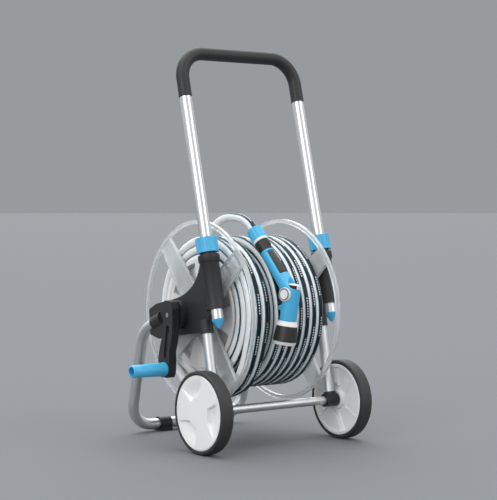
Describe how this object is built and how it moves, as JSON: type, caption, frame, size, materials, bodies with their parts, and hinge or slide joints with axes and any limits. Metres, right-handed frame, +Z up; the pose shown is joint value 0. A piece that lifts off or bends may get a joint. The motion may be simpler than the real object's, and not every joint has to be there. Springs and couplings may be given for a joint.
{
  "type": "garden hose reel cart",
  "caption": "Two-wheeled tubular cart with a cranked drum of garden hose, a spray gun, a telescopic push handle and a rear stand.",
  "frame": {"origin": "on the ground, under the middle of the cart's bounding box without the free hose and its spray gun", "axes": "+X along the wheel axle away from the crank, +Y from the wheels back to the rear stand, +Z up"},
  "size_m": [0.474, 0.4347, 0.838],
  "materials": {
    "frame_tube": "satin",
    "axle_steel": "brushed",
    "black_plastic": "satin moulded",
    "grip_soft": "soft matte",
    "blue_plastic": "semi gloss",
    "white_plastic": "semi gloss",
    "clear_plastic": "clear moulded",
    "wheel_plastic": "satin moulded",
    "tyre": "matte",
    "hose": "smooth PVC",
    "gun_black": "matte"
  },
  "bodies": {
    "frame": {"axle_rod": "axle_steel", "axle_clips": "axle_steel", "axle_tube": "frame_tube", "axle_connector_left": "black_plastic", "axle_connector_right": "black_plastic", "front_leg_left": "frame_tube", "front_leg_right": "frame_tube", "rear_stand": "frame_tube", "foot_clip_left": "black_plastic", "foot_clip_right": "black_plastic", "bracket_left": "black_plastic", "bracket_right": "black_plastic", "bracket_screws": "axle_steel", "collet_left": "black_plastic", "collet_right": "black_plastic", "inlet_elbow": "black_plastic", "inlet_seals": "grip_soft", "inlet_nipple": "blue_plastic"},
    "wheel_left": {"wheel_disc_left": "wheel_plastic", "tyre_left": "tyre"},
    "wheel_right": {"wheel_disc_right": "wheel_plastic", "tyre_right": "tyre"},
    "collar_left": {"clamp_collar_left": "blue_plastic"},
    "collar_right": {"clamp_collar_right": "blue_plastic"},
    "handle": {"handle_tube_left": "frame_tube", "handle_tube_right": "frame_tube", "handle_grip": "grip_soft", "tube_plug_left": "blue_plastic", "tube_plug_right": "blue_plastic"},
    "reel": {"drum_core": "white_plastic", "end_disc_left": "white_plastic", "end_disc_right": "white_plastic", "flange_left": "clear_plastic", "flange_right": "clear_plastic", "crank_shaft": "axle_steel", "hose_tail": "black_plastic", "crank_arm": "black_plastic", "crank_screw": "axle_steel", "crank_pin": "axle_steel", "hose_coil": "hose", "hose_loop": "hose", "gun_nut": "blue_plastic", "gun_ring": "white_plastic", "gun_socket": "gun_black", "gun_body": "blue_plastic", "gun_soft_insert": "grip_soft", "gun_trigger_pin": "axle_steel", "gun_side_cap": "white_plastic", "gun_cap": "white_plastic", "gun_collar": "white_plastic"},
    "grip": {"crank_grip": "blue_plastic"},
    "trigger": {"gun_trigger": "gun_black"},
    "thumb_wheel": {"gun_thumb_wheel": "gun_black"},
    "bezel": {"gun_bezel": "gun_black", "gun_front_ring": "white_plastic"}
  },
  "joints": [
    {"name": "wheel_left_spin", "type": "hinge", "parent": "frame", "child": "wheel_left", "pos_m": [-0.144, -0.128, 0.085], "axis": [1, 0, 0], "continuous": true},
    {"name": "wheel_right_spin", "type": "hinge", "parent": "frame", "child": "wheel_right", "pos_m": [0.222, -0.128, 0.085], "axis": [1, 0, 0], "continuous": true},
    {"name": "handle_slide", "type": "slide", "parent": "frame", "child": "handle", "axis": [0, 0.2419, 0.9703], "range_m": [-0.19, 0.016]},
    {"name": "collar_left_twist", "type": "hinge", "parent": "frame", "child": "collar_left", "pos_m": [-0.1106, -0.09376, 0.42129], "axis": [0, 0.2419, 0.9703], "range_deg": [0, 90]},
    {"name": "collar_right_twist", "type": "hinge", "parent": "frame", "child": "collar_right", "pos_m": [0.1886, -0.09376, 0.42129], "axis": [0, 0.2419, 0.9703], "range_deg": [0, 90]},
    {"name": "reel_spin", "type": "hinge", "parent": "frame", "child": "reel", "pos_m": [0.039, -0.008, 0.276], "axis": [1, 0, 0], "continuous": true},
    {"name": "crank_grip_spin", "type": "hinge", "parent": "reel", "child": "grip", "pos_m": [-0.196, -0.003, 0.163], "axis": [1, 0, 0], "continuous": true},
    {"name": "trigger_squeeze", "type": "hinge", "parent": "reel", "child": "trigger", "pos_m": [0.01759, -0.1775, 0.29508], "axis": [0.975, 0.2071, -0.0801], "range_deg": [0, 8], "stiffness_Nm_per_rad": 1, "springref_deg": -8.59},
    {"name": "thumb_wheel_turn", "type": "hinge", "parent": "reel", "child": "thumb_wheel", "pos_m": [0.0272, -0.20676, 0.33634], "axis": [0.1006, -0.0906, 0.9908], "range_deg": [-60, 60]},
    {"name": "bezel_twist", "type": "hinge", "parent": "reel", "child": "bezel", "pos_m": [0.01655, -0.19319, 0.24177], "axis": [0.1006, -0.0906, 0.9908], "range_deg": [-90, 90]}
  ]
}
